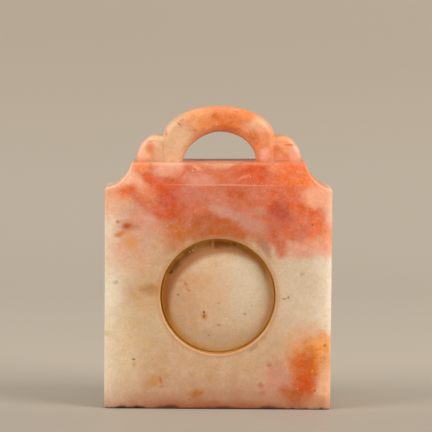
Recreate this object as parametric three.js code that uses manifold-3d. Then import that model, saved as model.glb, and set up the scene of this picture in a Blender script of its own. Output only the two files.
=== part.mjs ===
// Seal stamp carved from a soapstone plaque, with a smaller domed seal nested in its front.
// Millimetres, +Z up, front towards -Y. The origin is the middle of the print face, at z = 0.

import * as THREE from 'three';
import { mergeVertices } from 'three/addons/utils/BufferGeometryUtils.js';
import Module from 'manifold-3d';

const wasm = await Module();
wasm.setup();

// Driving dimensions of the block
const blockWidth = 36;
const blockDepth = 12;
const uprightEdgeRadius = 1;
const sideFaceHeight = 35;
const frontFaceHeight = 35.55;
const terraceHeight = 39.1;
const terraceWidth = 27.8;
const bandLean = 0.5;
const shoulderHollow = 0.8;
const terraceEdgeRadius = 0.45;
const baseEdgeRadius = 0.3;

// Driving dimensions of the bridge handle and its two cloud ears
const archWidth = 18;
const archDepth = 7.5;
const archSpring = 3.35;
const archRise = 5.4;
const archEdgeRadius = 0.9;
const openingWidth = 11.7;
const openingHeight = 4.8;
const openingFullness = 2;
const earLedge = 0.8;
const earRunout = 3.2;
const earHeight = 4.1;
const earSetback = 0.4;
const earEdgeRadius = 0.7;

// Driving dimensions of the nested child seal and of the well that holds it
const childDiameter = 17.9;
const childClearance = 0.15;
const childSeatGap = 0.3;
const childSetback = 0.3;
const childEdgeRadius = 0.25;
const domeHeight = 2;
const wellCentreHeight = 17.9;
const wellRearWall = 5.2;
const wellMouthChamfer = 0.2;

// Driving dimensions of the carved print faces
const reliefDepth = 0.7;
const blockBorder = 1.1;
const childBorder = 0.9;
const fretStroke = 0.85;
const fretGap = 0.85;
const fretPostWidth = 1.7;
const fieldCornerRadius = 0.5;

// Facets of the round stretches
const circleFacets = 64;
const archFacets = 32;
const cornerFacets = 6;
const bevelFacets = 3;
const domeFacets = 12;

// How far a joined root sinks into its stone and a cutting tool runs past it
const rootDepth = 1.5;
const reliefRoot = 0.3;
const toolOverrun = 2;

// Places worked out from the driving dimensions
const frontPlane = -blockDepth / 2;
const terraceDepth = blockDepth - 2 * bandLean;
const wellRadius = childDiameter / 2 + childClearance;
const wellFloor = blockDepth / 2 - wellRearWall;
const childRear = wellFloor - childSeatGap;
const domeTop = frontPlane + childSetback;
const earOuter = terraceWidth / 2 - earLedge;
const earInner = (archWidth + openingWidth) / 4;
const earDepth = archDepth - 2 * earSetback;

// Turns of the drawing plane: a profile seen from the front runs back along Y, one seen from
// the side runs along X
const frontToWorld = new THREE.Matrix4().makeBasis(
  new THREE.Vector3(1, 0, 0),
  new THREE.Vector3(0, 0, 1),
  new THREE.Vector3(0, -1, 0),
);
const sideToWorld = new THREE.Matrix4().makeBasis(
  new THREE.Vector3(0, 1, 0),
  new THREE.Vector3(0, 0, 1),
  new THREE.Vector3(1, 0, 0),
);

// Closed geometry to solid: only positions stay, shared corners merge, collapsed faces go
function solidFrom(geometry) {
  geometry.deleteAttribute('normal');
  geometry.deleteAttribute('uv');
  const merged = mergeVertices(geometry);
  const index = merged.index.array;
  const faces = [];
  for (let i = 0; i < index.length; i += 3) {
    const [a, b, c] = [index[i], index[i + 1], index[i + 2]];
    if (a !== b && b !== c && c !== a) {
      faces.push(a, b, c);
    }
  }
  return new wasm.Manifold(new wasm.Mesh({
    numProp: 3,
    vertProperties: new Float32Array(merged.attributes.position.array),
    triVerts: new Uint32Array(faces),
  }));
}

// A profile run out to a depth, centred on the drawing plane, with its edges rounded if asked
function extruded(shape, depth, facets, edge = 0) {
  const geometry = new THREE.ExtrudeGeometry(shape, {
    depth: depth - 2 * edge,
    curveSegments: facets,
    bevelEnabled: edge > 0,
    bevelThickness: edge,
    bevelSize: edge,
    bevelOffset: -edge,
    bevelSegments: bevelFacets,
  });
  return geometry.translate(0, 0, edge - depth / 2);
}

// A profile of (radius, y) points, listed front to rear, turned about the well's axis
function turned(profile) {
  const geometry = new THREE.LatheGeometry(profile, circleFacets);
  return solidFrom(geometry.translate(0, 0, wellCentreHeight));
}

function point(x, y) {
  return new THREE.Vector2(x, y);
}

// A hollow arc from the shape's last point, sagging by depth towards the left of its way
function hollowTo(shape, x, y, depth) {
  const start = shape.currentPoint;
  const chord = Math.hypot(x - start.x, y - start.y);
  const radius = chord ** 2 / (8 * depth) + depth / 2;
  const reach = (radius - depth) / chord;
  const centreX = (start.x + x) / 2 + reach * (y - start.y);
  const centreY = (start.y + y) / 2 - reach * (x - start.x);
  const from = Math.atan2(start.y - centreY, start.x - centreX);
  const to = Math.atan2(y - centreY, x - centreX);
  shape.absarc(centreX, centreY, radius, from, to, true);
}

function roundedRectangle(width, height, radius) {
  const [x, y] = [width / 2 - radius, height / 2 - radius];
  const shape = new THREE.Shape();
  shape.absarc(x, -y, radius, -Math.PI / 2, 0);
  shape.absarc(x, y, radius, 0, Math.PI / 2);
  shape.absarc(-x, y, radius, Math.PI / 2, Math.PI);
  shape.absarc(-x, -y, radius, Math.PI, 1.5 * Math.PI);
  return shape;
}

// Front outline of the block: straight sides, hollow shoulders and the flat terrace
function blockFrontOutline() {
  const half = blockWidth / 2;
  const top = terraceWidth / 2;
  const edge = terraceEdgeRadius;
  const shape = new THREE.Shape();
  shape.moveTo(-half + baseEdgeRadius, 0);
  shape.lineTo(half - baseEdgeRadius, 0);
  shape.quadraticCurveTo(half, 0, half, baseEdgeRadius);
  shape.lineTo(half, sideFaceHeight);
  hollowTo(shape, top, terraceHeight - edge, shoulderHollow);
  shape.quadraticCurveTo(top, terraceHeight, top - edge, terraceHeight);
  shape.lineTo(-top + edge, terraceHeight);
  shape.quadraticCurveTo(-top, terraceHeight, -top, terraceHeight - edge);
  hollowTo(shape, -half, sideFaceHeight, shoulderHollow);
  shape.lineTo(-half, baseEdgeRadius);
  shape.quadraticCurveTo(-half, 0, -half + baseEdgeRadius, 0);
  return shape;
}

// Side outline of the block: upright faces up to the crease, then a band that leans in
function blockSideOutline() {
  const half = blockDepth / 2;
  const top = terraceDepth / 2;
  const edge = terraceEdgeRadius;
  const shape = new THREE.Shape();
  shape.moveTo(-half + baseEdgeRadius, 0);
  shape.lineTo(half - baseEdgeRadius, 0);
  shape.quadraticCurveTo(half, 0, half, baseEdgeRadius);
  shape.lineTo(half, frontFaceHeight);
  shape.lineTo(top, terraceHeight - edge);
  shape.quadraticCurveTo(top, terraceHeight, top - edge, terraceHeight);
  shape.lineTo(-top + edge, terraceHeight);
  shape.quadraticCurveTo(-top, terraceHeight, -top, terraceHeight - edge);
  shape.lineTo(-half, frontFaceHeight);
  shape.lineTo(-half, baseEdgeRadius);
  shape.quadraticCurveTo(-half, 0, -half + baseEdgeRadius, 0);
  return shape;
}

// The block is what its front, side and plan outlines have in common
function blockBody() {
  const plan = roundedRectangle(blockWidth, blockDepth, uprightEdgeRadius);
  const long = 2 * Math.max(blockWidth, blockDepth, terraceHeight + toolOverrun);
  const front = extruded(blockFrontOutline(), long, cornerFacets).applyMatrix4(frontToWorld);
  const side = extruded(blockSideOutline(), long, cornerFacets).applyMatrix4(sideToWorld);
  const above = extruded(plan, long, cornerFacets);
  return solidFrom(front).intersect(solidFrom(side)).intersect(solidFrom(above));
}

// Bridge handle: an elliptical arch over a flat-footed opening
function archOutline() {
  const outer = archWidth / 2;
  const inner = openingWidth / 2;
  const foot = terraceHeight - rootDepth;
  const spring = terraceHeight + archSpring;
  const shape = new THREE.Shape();
  shape.moveTo(inner, foot);
  shape.lineTo(outer, foot);
  shape.lineTo(outer, spring);
  shape.absellipse(0, spring, outer, archRise, 0, Math.PI);
  shape.lineTo(-outer, foot);
  shape.lineTo(-inner, foot);
  for (let i = 0; i <= archFacets; i += 1) {
    const angle = Math.PI * (1 - i / archFacets);
    const across = Math.sign(Math.cos(angle)) * Math.abs(Math.cos(angle)) ** (2 / openingFullness);
    const up = Math.sin(angle) ** (2 / openingFullness);
    shape.lineTo(inner * across, terraceHeight + openingHeight * up);
  }
  return shape;
}

// Cloud ear: a quarter ellipse that rolls down from beside the arch to the terrace
function earOutline(side) {
  const foot = terraceHeight - rootDepth;
  const crown = earOuter - earRunout;
  const shape = new THREE.Shape();
  shape.moveTo(side * earInner, foot);
  shape.lineTo(side * earOuter, foot);
  shape.lineTo(side * earOuter, terraceHeight);
  shape.absellipse(
    side * crown, terraceHeight, earRunout, earHeight,
    side > 0 ? 0 : Math.PI, Math.PI / 2, side < 0,
  );
  shape.lineTo(side * earInner, terraceHeight + earHeight);
  return shape;
}

function handle() {
  const arch = extruded(archOutline(), archDepth, archFacets, archEdgeRadius);
  let solid = solidFrom(arch.applyMatrix4(frontToWorld));
  for (const side of [-1, 1]) {
    const ear = extruded(earOutline(side), earDepth, archFacets / 2, earEdgeRadius);
    solid = solid.add(solidFrom(ear.applyMatrix4(frontToWorld)));
  }
  return solid;
}

// Tool that bores the well and breaks its mouth with a small chamfer
function wellTool() {
  const mouthRadius = wellRadius + wellMouthChamfer;
  return turned([
    point(0, frontPlane - toolOverrun),
    point(mouthRadius, frontPlane - toolOverrun),
    point(mouthRadius, frontPlane),
    point(wellRadius, frontPlane + wellMouthChamfer),
    point(wellRadius, wellFloor),
    point(0, wellFloor),
  ]);
}

// Square spiral of raised bars: its print plane is z = 0 and it rises from stone above that
function squareSpiral(width, height, place) {
  const pitch = fretStroke + fretGap;
  let [across, up] = [(width - fretStroke) / 2, (height - fretStroke) / 2];
  const corners = [point(-across, -up)];
  while (2 * across > pitch && 2 * up > pitch) {
    corners.push(point(across, -up), point(across, up), point(-across, up));
    corners.push(point(-across, pitch - up));
    [across, up] = [across - pitch, up - pitch];
  }
  if (up >= 0) {
    corners.push(point(across, -up));
  }
  const bars = corners.slice(1).map((corner, i) => reliefBar(corners[i], corner, place));
  return bars.reduce((all, bar) => all.add(bar));
}

// One raised bar between two corners of a fret, as wide as the fret's stroke
function reliefBar(from, to, place) {
  const width = Math.abs(to.x - from.x) + fretStroke;
  const height = Math.abs(to.y - from.y) + fretStroke;
  const rise = reliefDepth + reliefRoot;
  const bar = new THREE.BoxGeometry(width, height, rise);
  bar.translate((from.x + to.x) / 2, (from.y + to.y) / 2, rise / 2);
  return solidFrom(bar.applyMatrix4(place));
}

// Print face of the block: a raised border round two square spirals that face a centre post
function withBlockPrintFace(block) {
  const width = blockWidth - 2 * blockBorder;
  const height = blockDepth - 2 * blockBorder;
  const outline = roundedRectangle(width, height, fieldCornerRadius);
  const field = extruded(outline, 2 * reliefDepth, cornerFacets);
  let carved = block.subtract(solidFrom(field));
  const spiralHeight = height - 2 * fretGap;
  const spiralWidth = (width - fretPostWidth) / 2 - 2 * fretGap;
  const offset = (fretPostWidth + spiralWidth) / 2 + fretGap;
  for (const side of [-1, 1]) {
    const place = new THREE.Matrix4().makeRotationZ(side < 0 ? 0 : Math.PI);
    place.setPosition(side * offset, 0, 0);
    carved = carved.add(squareSpiral(spiralWidth, spiralHeight, place));
  }
  const rise = reliefDepth + reliefRoot;
  const post = new THREE.BoxGeometry(fretPostWidth, spiralHeight, rise);
  return carved.add(solidFrom(post.translate(0, 0, rise / 2)));
}

function sealBlock() {
  return withBlockPrintFace(blockBody().add(handle()).subtract(wellTool()));
}

// Child seal: a short round stone with a domed front and its own print face at the rear
function childBody() {
  const radius = childDiameter / 2;
  const profile = [point(0, domeTop)];
  for (let i = 1; i <= domeFacets; i += 1) {
    const angle = (i / domeFacets) * Math.PI / 2;
    profile.push(point(radius * Math.sin(angle), domeTop + domeHeight * (1 - Math.cos(angle))));
  }
  profile.push(point(radius, childRear - childEdgeRadius));
  profile.push(point(radius - childEdgeRadius, childRear));
  profile.push(point(0, childRear));
  return turned(profile);
}

function childSeal() {
  const fieldRadius = childDiameter / 2 - childBorder;
  const field = turned([
    point(0, childRear - reliefDepth),
    point(fieldRadius, childRear - reliefDepth),
    point(fieldRadius, childRear + toolOverrun),
    point(0, childRear + toolOverrun),
  ]);
  const spiralSize = Math.SQRT2 * (fieldRadius - fretGap);
  const place = frontToWorld.clone().setPosition(0, childRear, wellCentreHeight);
  return childBody().subtract(field).add(squareSpiral(spiralSize, spiralSize, place));
}

// A finished solid as a named mesh in its own stone
function stoneMesh(name, solid, colour) {
  const { vertProperties, triVerts } = solid.getMesh();
  const geometry = new THREE.BufferGeometry();
  geometry.setAttribute('position', new THREE.BufferAttribute(vertProperties, 3));
  geometry.setIndex(new THREE.BufferAttribute(triVerts, 1));
  const material = new THREE.MeshStandardMaterial({
    color: colour, roughness: 0.3, metalness: 0, flatShading: true,
  });
  const mesh = new THREE.Mesh(geometry, material);
  mesh.name = name;
  return mesh;
}

const sealStamp = new THREE.Group();
sealStamp.add(stoneMesh('seal_block', sealBlock(), '#e2a57c'));
sealStamp.add(stoneMesh('child_seal', childSeal(), '#d6b187'));

export default sealStamp;
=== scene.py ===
"""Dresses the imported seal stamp: carved soapstone surfaces, their colouring, and a small studio.

The stones are built in millimetres as distance fields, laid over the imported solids, and turned
into metres at the end. X runs across the front, Y from front to back, Z up from the print face.
"""

import logging
import math
from dataclasses import dataclass, field
from enum import Enum
from typing import Sequence, Union

import bmesh
import bpy
import numpy as np
from mathutils import Matrix, Vector


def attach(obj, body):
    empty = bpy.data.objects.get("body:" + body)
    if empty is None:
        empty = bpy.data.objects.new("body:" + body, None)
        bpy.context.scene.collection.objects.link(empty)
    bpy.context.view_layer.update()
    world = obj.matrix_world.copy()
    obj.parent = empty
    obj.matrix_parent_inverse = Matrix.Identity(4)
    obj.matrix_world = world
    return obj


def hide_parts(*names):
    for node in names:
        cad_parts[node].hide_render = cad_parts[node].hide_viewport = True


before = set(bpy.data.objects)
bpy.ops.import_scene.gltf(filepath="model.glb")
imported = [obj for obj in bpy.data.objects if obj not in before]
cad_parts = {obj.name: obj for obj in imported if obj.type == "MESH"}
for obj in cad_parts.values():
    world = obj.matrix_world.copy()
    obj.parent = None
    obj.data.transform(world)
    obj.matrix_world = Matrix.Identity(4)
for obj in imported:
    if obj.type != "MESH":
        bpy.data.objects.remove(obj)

LOG = logging.getLogger("seal_stamp")

MM = 0.001
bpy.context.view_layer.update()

# How much of the red, green and blue light that enters the stone comes out again.
STONE_RETURNS = (0.99, 0.945, 0.905)

Field = np.ndarray
Points = np.ndarray
Colour = tuple[int, int, int]
Socket = bpy.types.NodeSocket
Input = Union[Socket, float, tuple]


def linear(colour: Colour) -> tuple[float, float, float, float]:
    """Turns an 8-bit sRGB colour into the linear colour that a shader socket takes.

    Args:
        colour: Red, green and blue from 0 to 255.

    Returns:
        Linear red, green, blue and an alpha of 1.
    """
    parts = []
    for value in colour:
        share = value / 255
        parts.append(share / 12.92 if share <= 0.04045 else ((share + 0.055) / 1.055) ** 2.4)
    return (*parts, 1.0)


def stone_colour(colour: Colour) -> tuple[float, float, float, float]:
    """Turns a colour as it shows on the stone into the base colour that gives it.

    Args:
        colour: Red, green and blue from 0 to 255.

    Returns:
        The linear base colour, with what the stone swallows of the light added back.
    """
    red, green, blue, alpha = linear(colour)
    return red / STONE_RETURNS[0], green / STONE_RETURNS[1], blue / STONE_RETURNS[2], alpha


def round_meet(first: Field, second: Field, radius: float) -> Field:
    """Gives the distance to what two fields have in common, with a round edge between them.

    Args:
        first: Distances to the first shape, negative inside.
        second: Distances to the second shape.
        radius: Radius of the edge where they meet.

    Returns:
        Distances to the common part.
    """
    out_first = np.maximum(first + radius, 0)
    out_second = np.maximum(second + radius, 0)
    inside = np.minimum(np.maximum(first, second) + radius, 0)
    return inside + np.hypot(out_first, out_second) - radius


def soft_meet(first: Field, second: Field, blend: float) -> Field:
    """Gives the distance to the common part of two fields that meet at a shallow angle.

    Args:
        first: Distances to the first shape, negative inside.
        second: Distances to the second shape.
        blend: Width over which one surface eases into the other.

    Returns:
        Distances to the common part.
    """
    share = np.clip(0.5 + 0.5 * (first - second) / blend, 0, 1)
    return second + (first - second) * share + blend * share * (1 - share)


def soft_join(first: Field, second: Field, blend: float) -> Field:
    """Joins two fields with a small fillet. Args and Returns are those of soft_meet."""
    return -soft_meet(-first, -second, blend)


def oval(across: Field, up: Field, half: float, rise: float, fullness: Field) -> Field:
    """Gives the distance to a superellipse that is centred on zero.

    Args:
        across: Distances from the centre along the first axis, zero or more.
        up: Distances from the centre along the second axis, zero or more.
        half: Half width on the first axis.
        rise: Half width on the second axis.
        fullness: Exponent of the outline: 2 is an ellipse, more is squarer.

    Returns:
        Distances, close to true ones near the outline.
    """
    u = np.maximum(across / half, 1e-4)
    v = np.maximum(up / rise, 1e-4)
    reach = (u**fullness + v**fullness) ** (1 / fullness)
    slope = np.hypot(u ** (fullness - 1) / half, v ** (fullness - 1) / rise)
    return (reach - 1) * reach ** (fullness - 1) / slope


def ripple(points: Points, wavelength: float, seed: int) -> Field:
    """Gives smooth random hills from -1 to 1, the same on each run.

    Args:
        points: Places in millimetres, one to a row.
        wavelength: Usual distance between two hills.
        seed: Picks one set of hills.

    Returns:
        A height for each place.
    """
    random = np.random.default_rng(seed)
    waves = random.normal(size=(7, 3)) * 2.2 / wavelength
    phases = random.uniform(0, math.tau, 7)
    return np.sin(points @ waves.T + phases).sum(axis=1) / 7 ** 0.5 / 1.6


class Side(Enum):
    """The two ends of the seal, by the direction of each along X."""

    LEFT = -1
    RIGHT = 1


@dataclass
class Fret:
    """Raised square spirals of a print face, as plain thunder-pattern strokes.

    The strokes lie in a plane of their own, with two axes u and v.
    """

    stroke: float = 0.85
    gap: float = 0.85
    rounding: float = 0.12

    def spiral(self, u: Field, v: Field, width: float, height: float) -> Field:
        """Gives the distance to one square spiral that is wound inwards.

        Args:
            u: Places across, from the spiral's middle.
            v: Places up, from the spiral's middle.
            width: Outer width of the spiral.
            height: Outer height of the spiral.

        Returns:
            Distances in the plane, negative on a stroke.
        """
        pitch = self.stroke + self.gap
        across, up = (width - self.stroke) / 2, (height - self.stroke) / 2
        corners = [(-across, -up)]
        while 2 * across > pitch and 2 * up > pitch:
            corners += [(across, -up), (across, up), (-across, up), (-across, pitch - up)]
            across, up = across - pitch, up - pitch
        if up >= 0:
            corners.append((across, -up))
        nearest = np.full(len(u), 1e3)
        for (u0, v0), (u1, v1) in zip(corners, corners[1:]):
            nearest = np.minimum(nearest, self.bar(u, v, (u0 + u1) / 2, (v0 + v1) / 2,
                                                   abs(u1 - u0), abs(v1 - v0)))
        return nearest

    def bar(self, u: Field, v: Field, mid_u: float, mid_v: float, run_u: float, run_v: float) -> Field:
        """Gives the distance to one straight stroke.

        Args:
            u: Places across.
            v: Places up.
            mid_u: Middle of the stroke, across.
            mid_v: Middle of the stroke, up.
            run_u: Length of the stroke's centre line, across.
            run_v: Length of the stroke's centre line, up.

        Returns:
            Distances in the plane, negative on the stroke.
        """
        out_u = np.abs(u - mid_u) - (run_u + self.stroke) / 2
        out_v = np.abs(v - mid_v) - (run_v + self.stroke) / 2
        return round_meet(out_u, out_v, self.rounding)


@dataclass
class CarvedStone:
    """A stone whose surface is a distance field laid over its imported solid."""

    node: str
    piece: str
    slot: str
    body: str
    mesh_step: float = 0.13
    quick_step: float = 0.26
    relief: float = 0.7
    relief_round: float = 0.15
    stroke_draft: float = 0.1
    stroke_edge: float = 0.08
    fret: Fret = field(default_factory=Fret)

    def distance(self, points: Points) -> Field:
        """Gives the distance from each place to the carved surface. Each stone has its own.

        Args:
            points: Places in millimetres, one to a row.

        Returns:
            Distances in millimetres, negative inside the stone.
        """
        raise NotImplementedError

    def build(self) -> bpy.types.Object:
        """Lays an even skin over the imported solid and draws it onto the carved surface.

        Returns:
            The finished piece, riding on its body in place of its node.
        """
        skin = self.even_skin()
        places = np.empty(len(skin.vertices) * 3)
        skin.vertices.foreach_get("co", places)
        places = places.reshape(-1, 3)
        edges = np.empty(len(skin.edges) * 2, dtype=np.int32)
        skin.edges.foreach_get("vertices", edges)
        edges = edges.reshape(-1, 2)
        for evening in (0.5, 0.5, 0.35, 0.0):
            places = self.drawn_onto(places, 3)
            places = self.evened(places, edges, evening)
        places = self.drawn_onto(places, 3)
        skin.vertices.foreach_set("co", (places * MM).ravel())
        self.mark_edges(skin, places)
        skin.shade_smooth()
        skin.update()
        piece = bpy.data.objects.new(self.piece, skin)
        bpy.context.scene.collection.objects.link(piece)
        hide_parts(self.node)
        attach(piece, self.body)
        LOG.info("%s: %d faces", self.piece, len(skin.polygons))
        return piece

    def even_skin(self) -> bpy.types.Mesh:
        """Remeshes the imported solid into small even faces, in millimetres.

        Returns:
            A new closed mesh.
        """
        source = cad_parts[self.node].data.copy()
        source.transform(Matrix.Scale(1 / MM, 4))
        holder = bpy.data.objects.new(self.piece + "_skin", source)
        bpy.context.scene.collection.objects.link(holder)
        remesh = holder.modifiers.new("even", "REMESH")
        remesh.mode = "VOXEL"
        remesh.voxel_size = self.mesh_step
        graph = bpy.context.evaluated_depsgraph_get()
        skin = bpy.data.meshes.new_from_object(holder.evaluated_get(graph))
        bpy.data.objects.remove(holder)
        bpy.data.meshes.remove(source)
        skin.materials.clear()
        skin.name = self.piece
        return skin

    def slopes(self, points: Points, reach: float = 0.02) -> tuple[Field, Points]:
        """Measures the field and its slope.

        Args:
            points: Places in millimetres.
            reach: Step of the measurement.

        Returns:
            The distance at each place and the direction in which it grows.
        """
        here = self.distance(points)
        slope = np.empty_like(points)
        for axis in range(3):
            step = np.zeros(3)
            step[axis] = reach
            slope[:, axis] = (self.distance(points + step) - here) / reach
        return here, slope

    def drawn_onto(self, places: Points, rounds: int) -> Points:
        """Moves each place along the slope until it lies on the carved surface.

        Args:
            places: Places in millimetres.
            rounds: How many times to move them.

        Returns:
            The places, now on the surface.
        """
        least_slope, longest_move = 0.25, 0.4
        for _ in range(rounds):
            here, slope = self.slopes(places)
            steep = np.maximum((slope**2).sum(axis=1), least_slope)
            move = np.clip(here / steep, -longest_move, longest_move)
            places = places - slope * move[:, None]
        return places

    @staticmethod
    def evened(places: Points, edges: np.ndarray, share: float) -> Points:
        """Moves each place towards the middle of its neighbours.

        Args:
            places: Places in millimetres.
            edges: Pairs of neighbours.
            share: How far to move, from 0 to 1.

        Returns:
            The moved places.
        """
        if share == 0.0:
            return places
        count = len(places)
        ends = np.concatenate([edges[:, 0], edges[:, 1]])
        others = np.concatenate([edges[:, 1], edges[:, 0]])
        degree = np.maximum(np.bincount(ends, minlength=count), 1)
        middle = np.empty_like(places)
        for axis in range(3):
            middle[:, axis] = np.bincount(ends, places[others, axis], count) / degree
        return places + (middle - places) * share

    def mark_edges(self, skin: bpy.types.Mesh, places: Points, reach: float = 0.16) -> None:
        """Stores how sharply the surface bends: out for worn edges, in for hollows that hold dirt.

        Args:
            skin: The mesh that gets the two attributes.
            places: Its vertices in millimetres.
            reach: How far round each vertex the bend is measured.
        """
        bend = -6 * self.distance(places)
        for axis in range(3):
            for way in (-1, 1):
                step = np.zeros(3)
                step[axis] = way * reach
                bend += self.distance(places + step)
        bend /= reach
        for name, values in (("edge", bend), ("hollow", -bend)):
            layer = skin.attributes.new(name, "FLOAT", "POINT")
            layer.data.foreach_set("value", np.clip(values, 0, 1).astype(np.float32))


@dataclass
class SealBlock(CarvedStone):
    """The plaque with its shoulders, terrace, bridge handle, cloud ears and print face."""

    node: str = "seal_block"
    piece: str = "carved_block"
    slot: str = "block_stone"
    body: str = "block"
    half_width: float = 18.0
    half_depth: float = 6.0
    upright_radius: float = 1.0
    crease_height: float = 35.55
    terrace_height: float = 39.1
    terrace_tilt: float = 0.006
    lean: float = 0.5
    cove_radius: float = 5.11
    cove_across: float = 18.81
    cove_height: float = 40.04
    arch_half: float = 9.0
    arch_rise: float = 5.4
    arch_spring: float = 3.35
    arch_depth: float = 7.5
    arch_round: float = 1.3
    arch_fullness: float = 2.08
    opening_half: float = 5.85
    opening_rise: float = 4.8
    opening_shift: float = 0.1
    left_fullness: float = 1.72
    ear_half: float = 13.1
    ear_runout: float = 3.2
    ear_rise: float = 4.1
    ear_depth: float = 6.7
    ear_round: float = 0.8
    ear_root: float = 2.4
    scroll_depth: float = 0.05
    scroll_out: float = 0.55
    scroll_up: float = 1.75
    scroll_pitch: float = 1.15
    scroll_width: float = 0.2
    scroll_reach: float = 2.0
    scroll_eye: float = 0.25
    well_radius: float = 9.1
    well_height: float = 17.9
    well_floor: float = 0.8
    well_chamfer: float = 0.2
    border: float = 1.1
    post_width: float = 1.7
    chips: int = 46
    chip_radii: tuple[float, float] = (0.2, 0.55)
    deepest_chip: float = 0.12
    knocked_band: float = 1.2
    side_top: float = 35.0
    terrace_edge: tuple[float, float] = (13.9, 5.5)
    middle_height: float = 20.0

    def distance(self, points: Points) -> Field:
        """Gives the distance to the carved block. Args and Returns are those of the base class."""
        stone = self.plaque(points)
        stone = soft_join(stone, self.arch(points), 0.25)
        for side in Side:
            stone = soft_join(stone, self.ear(points, side), 0.2)
        stone = np.maximum(stone, -self.well(points))
        stone = round_meet(stone, -self.print_field(points), self.stroke_edge)
        stone = self.chipped(points, stone)
        return stone + 0.02 * ripple(points, 9.0, 3) + 0.008 * ripple(points, 2.4, 4)

    def chipped(self, points: Points, stone: Field) -> Field:
        """Takes small chips out of the edges that get knocked.

        Args:
            points: Places in millimetres.
            stone: Distances to the block with whole edges.

        Returns:
            Distances to the chipped block.
        """
        random = np.random.default_rng(11)
        side, front, top, band = self.half_width, self.half_depth, self.side_top, self.knocked_band
        lip, lip_front = self.terrace_edge
        edges = (
            ((-side, -front, 0.0), (side, -front, 0.0)), ((-side, front, 0.0), (side, front, 0.0)),
            ((-side, -front, 0.0), (-side, -front, top)), ((side, -front, 0.0), (side, -front, top)),
            ((-side, front, 0.0), (-side, front, top)), ((side, front, 0.0), (side, front, top)),
            ((-lip, -lip_front, self.terrace_height), (lip, -lip_front, self.terrace_height)),
            ((-side, -front, top), (-side, front, top)), ((side, -front, top), (side, front, top)),
        )
        x, y, z = np.abs(points.T)
        beyond = (x > side - band).astype(int) + (y > front - band) + (z < band) + (z > top - 1)
        knocked = np.flatnonzero(beyond > 1)
        places, whole = points[knocked], stone[knocked]
        inward = np.array((0.0, 0.0, self.middle_height))
        for count in range(self.chips):
            start, end = (np.array(place) for place in edges[count % len(edges)])
            centre = start + (end - start) * random.uniform(0.02, 0.98)
            radius = random.uniform(*self.chip_radii)
            reach = random.uniform(0.0, self.deepest_chip)
            away = centre - inward
            away[np.abs(end - start) > 1] = 0
            centre = centre + away / np.linalg.norm(away) * (radius * 0.5 - reach)
            bite = radius - np.linalg.norm(places - centre, axis=1)
            whole = np.maximum(whole, bite)
        chipped = stone.copy()
        chipped[knocked] = whole
        return chipped

    def plaque(self, points: Points) -> Field:
        """Gives the distance to the block without handle, well or print face.

        Args:
            points: Places in millimetres.

        Returns:
            Distances in millimetres.
        """
        x, y, z = points.T
        top = self.terrace_height + self.terrace_tilt * x
        stone = round_meet(np.abs(x) - self.half_width, np.abs(y) - self.half_depth, self.upright_radius)
        angle = math.atan2(self.lean, self.terrace_height - self.crease_height)
        rise = (z - self.crease_height) * math.sin(angle)
        stone = soft_meet(stone, (np.abs(y) - self.half_depth) * math.cos(angle) + rise, 0.03)
        cove = self.cove_radius - np.hypot(np.abs(x) - self.cove_across, z - self.cove_height)
        stone = round_meet(stone, cove, 0.25)
        stone = round_meet(stone, z - top, 0.4)
        return round_meet(stone, -z, 0.22)

    def arch(self, points: Points) -> Field:
        """Gives the distance to the bridge handle. Args and Returns are those of plaque."""
        x, y, z = points.T
        spring = self.terrace_height + self.arch_spring
        outer = oval(np.abs(x), np.maximum(z - spring, 0), self.arch_half, self.arch_rise,
                     self.arch_fullness)
        across = x - self.opening_shift
        fullness = np.where(across < 0, self.left_fullness, 2.0)
        inner = oval(np.abs(across), np.maximum(z - self.terrace_height, 0), self.opening_half,
                     self.opening_rise, fullness)
        band = np.maximum(outer, -inner)
        band = np.maximum(band, self.terrace_height - 1 - z)
        return round_meet(band, np.abs(y) - self.arch_depth / 2, self.arch_round)

    def ear(self, points: Points, side: Side) -> Field:
        """Gives the distance to one cloud ear with its scroll.

        Args:
            points: Places in millimetres.
            side: The end of the terrace that it stands on.

        Returns:
            Distances in millimetres.
        """
        x, y, z = points.T
        crown = self.ear_half - self.ear_runout
        outward = side.value * x
        lobe = oval(np.maximum(outward - crown, 0), np.maximum(z - self.terrace_height, 0),
                    self.ear_runout, self.ear_rise, 2.0)
        lobe = np.maximum(lobe, crown - self.ear_root - outward)
        lobe = np.maximum(lobe, self.terrace_height - 1 - z)
        ear = round_meet(lobe, np.abs(y) - self.ear_depth / 2, self.ear_round)
        return ear + self.scroll_depth * self.scroll(outward - crown - self.scroll_out,
                                                     z - self.terrace_height - self.scroll_up)

    def scroll(self, u: Field, v: Field) -> Field:
        """Gives the depth share of a spiral groove wound round zero.

        Args:
            u: Places outwards from the scroll's eye.
            v: Places up from the scroll's eye.

        Returns:
            1 on the groove's line, falling to 0 beside it.
        """
        radius = np.hypot(u, v)
        turn = np.arctan2(v, u) / math.tau
        arm = radius / self.scroll_pitch - turn
        beside = np.abs(arm - np.round(arm)) * self.scroll_pitch
        inside = np.clip((self.scroll_reach - radius) / 0.3, 0, 1)
        inside = inside * np.clip((radius - self.scroll_eye) / 0.2, 0, 1)
        return np.exp(-((beside / self.scroll_width) ** 2)) * inside

    def well(self, points: Points) -> Field:
        """Gives the distance to the round well and its chamfer. Args and Returns are those of plaque."""
        x, y, z = points.T
        radius = np.hypot(x, z - self.well_height)
        bore = round_meet(radius - self.well_radius, y - self.well_floor, 0.5)
        mouth = radius - self.well_radius - self.well_chamfer + (y + self.half_depth)
        return np.minimum(bore, mouth * math.sqrt(0.5))

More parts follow.
